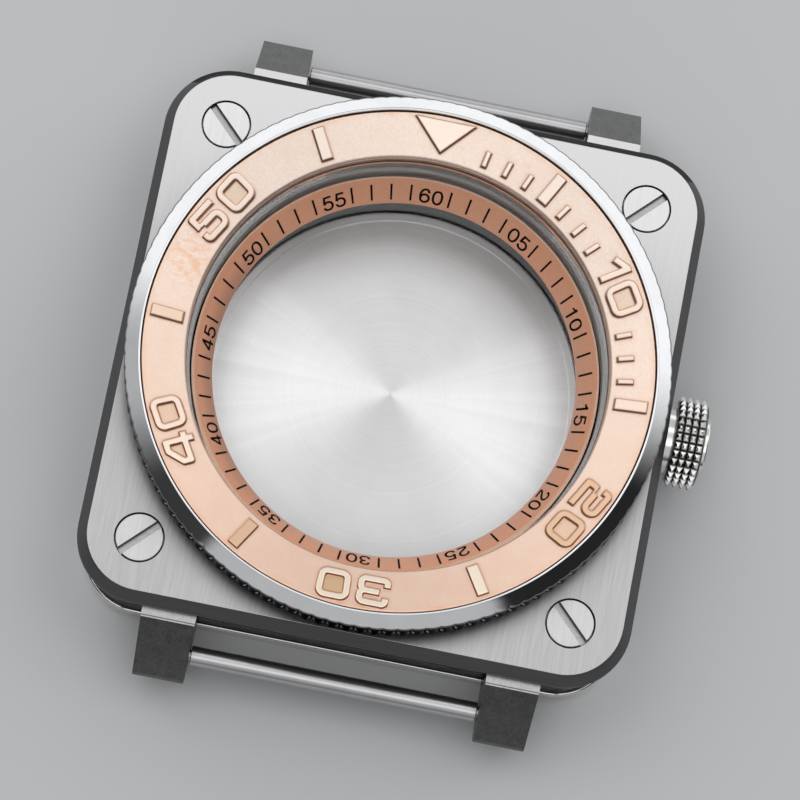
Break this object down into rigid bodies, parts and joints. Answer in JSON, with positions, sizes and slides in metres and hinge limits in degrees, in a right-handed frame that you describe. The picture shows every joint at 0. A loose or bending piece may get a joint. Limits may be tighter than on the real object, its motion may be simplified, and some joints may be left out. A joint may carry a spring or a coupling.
{
  "type": "watch case",
  "caption": "Empty square sandwich watch case with a round turning timing bezel, flat crystal, sloping minute ring, knurled crown and two spring strap bars.",
  "frame": {"origin": "centre of the back plate's flat underside", "axes": "+Z out through the crystal, +X to the crown at 3 o'clock, +Y to 12 o'clock"},
  "size_m": [0.0453, 0.051, 0.0141],
  "materials": {
    "plate_steel": "satin, straight grain along Y",
    "case_steel": "dark polished sides, satin lugs",
    "back_steel": "turned inside, satin outside",
    "screw_steel": "satin heads",
    "bezel_steel": "mirror polish",
    "rose_gold": "blasted matt, pale rose gold",
    "rose_ring": "fine turned grain, black figures",
    "crystal_glass": "clear flat crystal",
    "grey_gasket": "semi-gloss",
    "black_gasket": "matt",
    "glue_film": "thin film",
    "spring_steel": "bright drawn wire",
    "crown_steel": "bright knurl, satin cap",
    "bar_steel": "drawn, polished"
  },
  "bodies": {
    "case": {"top_plate": "plate_steel", "mid_case": "case_steel", "back_plate": "back_steel", "front_screws": "screw_steel", "back_screws": "screw_steel", "crystal": "crystal_glass", "crystal_gasket": "grey_gasket", "plate_gasket": "black_gasket", "back_gasket": "black_gasket", "chapter_ring": "rose_ring", "bezel_gasket": "black_gasket", "bezel_click_spring": "spring_steel", "crown_tube": "crown_steel"},
    "bezel": {"bezel_ring": "bezel_steel", "bezel_insert": "rose_gold", "insert_adhesive": "glue_film", "bezel_retaining_ring": "spring_steel"},
    "crown_carrier": {"crown_gasket": "black_gasket"},
    "crown": {"crown_head": "crown_steel", "crown_post": "crown_steel"},
    "top_bar": {"top_bar_tube": "bar_steel", "top_bar_spring": "spring_steel"},
    "bottom_bar": {"bottom_bar_tube": "bar_steel", "bottom_bar_spring": "spring_steel"},
    "top_bar_left_end": {"top_bar_pin_left": "bar_steel"},
    "top_bar_right_end": {"top_bar_pin_right": "bar_steel"},
    "bottom_bar_left_end": {"bottom_bar_pin_left": "bar_steel"},
    "bottom_bar_right_end": {"bottom_bar_pin_right": "bar_steel"}
  },
  "joints": [
    {"name": "bezel_turn", "type": "hinge", "parent": "case", "child": "bezel", "pos_m": [0, 0, 0.0118], "axis": [0, 0, 1], "continuous": true},
    {"name": "crown_pull", "type": "slide", "parent": "case", "child": "crown_carrier", "axis": [1, 0, 0], "range_m": [0, 0.0015]},
    {"name": "crown_turn", "type": "hinge", "parent": "crown_carrier", "child": "crown", "pos_m": [0.023, 0, 0.0052], "axis": [1, 0, 0], "continuous": true},
    {"name": "top_bar_spin", "type": "hinge", "parent": "case", "child": "top_bar", "pos_m": [0, 0.02325, 0.0039], "axis": [1, 0, 0], "continuous": true},
    {"name": "top_bar_left_press", "type": "slide", "parent": "top_bar", "child": "top_bar_left_end", "axis": [1, 0, 0], "range_m": [0, 0.0012], "stiffness_N_per_m": 300, "springref_m": -0.001},
    {"name": "top_bar_right_press", "type": "slide", "parent": "top_bar", "child": "top_bar_right_end", "axis": [-1, 0, 0], "range_m": [0, 0.0012], "stiffness_N_per_m": 300, "springref_m": -0.001},
    {"name": "bottom_bar_spin", "type": "hinge", "parent": "case", "child": "bottom_bar", "pos_m": [0, -0.02325, 0.0039], "axis": [1, 0, 0], "continuous": true},
    {"name": "bottom_bar_left_press", "type": "slide", "parent": "bottom_bar", "child": "bottom_bar_left_end", "axis": [1, 0, 0], "range_m": [0, 0.0012], "stiffness_N_per_m": 300, "springref_m": -0.001},
    {"name": "bottom_bar_right_press", "type": "slide", "parent": "bottom_bar", "child": "bottom_bar_right_end", "axis": [-1, 0, 0], "range_m": [0, 0.0012], "stiffness_N_per_m": 300, "springref_m": -0.001}
  ]
}
